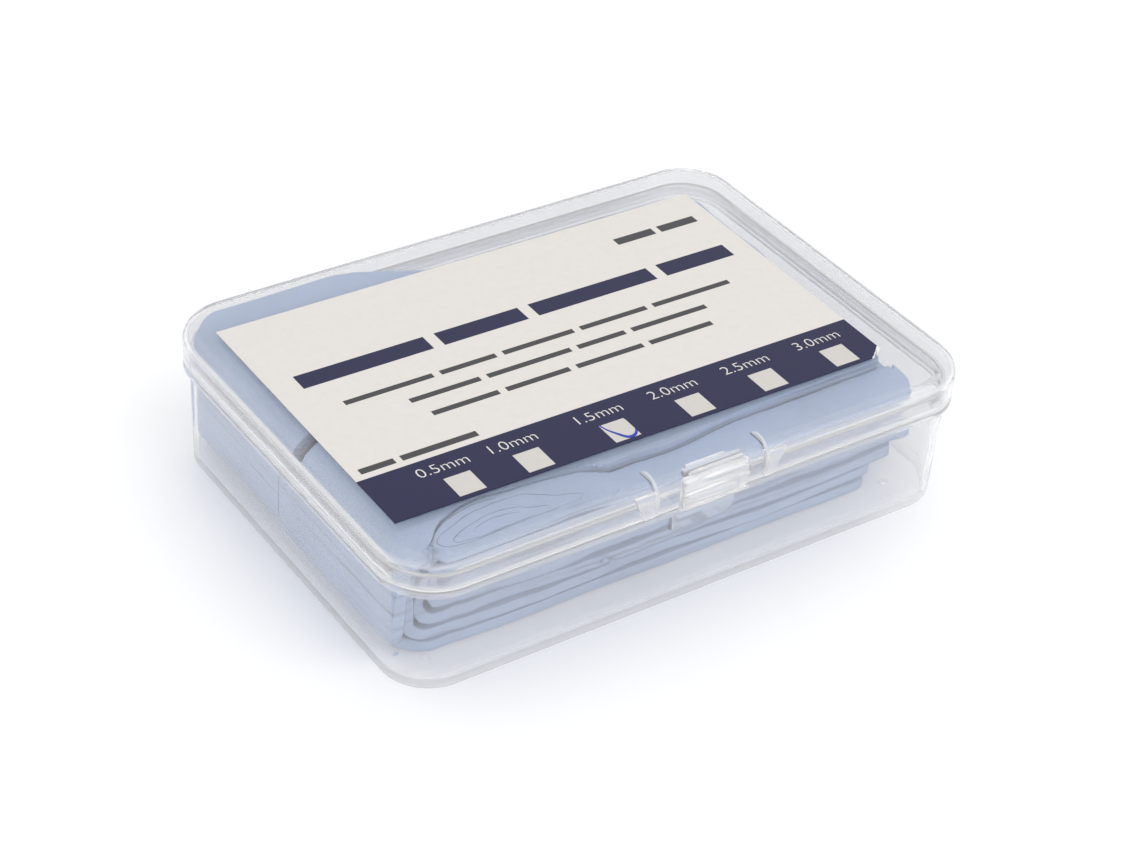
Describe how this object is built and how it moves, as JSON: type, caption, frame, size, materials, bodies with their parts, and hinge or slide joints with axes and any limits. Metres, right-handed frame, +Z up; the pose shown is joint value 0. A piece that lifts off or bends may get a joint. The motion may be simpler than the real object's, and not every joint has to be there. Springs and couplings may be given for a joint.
{
  "type": "boxed thermal pad sheets",
  "caption": "Frosted clear hinged plastic box with a snap latch and a paper label, packed with folded strips of pale blue silicone thermal pad.",
  "frame": {"origin": "middle of the box's bottom face, which lies on the floor", "axes": "+X along the box's length, -Y towards the latch, +Y towards the hinge, +Z up"},
  "size_m": [0.096, 0.072, 0.0236],
  "materials": {
    "clear_plastic": "frosted clear polypropylene",
    "pad_silicone": "matt soft silicone",
    "label_paper": "coated label paper"
  },
  "bodies": {
    "base": {"box_base": "clear_plastic", "pad_strip_front_1": "pad_silicone", "pad_strip_front_2": "pad_silicone", "pad_strip_front_3": "pad_silicone", "pad_strip_front_4": "pad_silicone", "pad_strip_back_1": "pad_silicone", "pad_strip_back_2": "pad_silicone", "pad_strip_back_3": "pad_silicone", "pad_strip_back_4": "pad_silicone"},
    "lid": {"box_lid": "clear_plastic", "label_sticker": "label_paper"},
    "latch": {"front_latch": "clear_plastic"}
  },
  "joints": [
    {"name": "lid_hinge", "type": "hinge", "parent": "base", "child": "lid", "pos_m": [0, 0.0351, 0.0175], "axis": [-1, 0, 0], "range_deg": [0, 180]},
    {"name": "latch_hinge", "type": "hinge", "parent": "lid", "child": "latch", "pos_m": [0, -0.0349, 0.02325], "axis": [-1, 0, 0], "range_deg": [0, 110]}
  ]
}
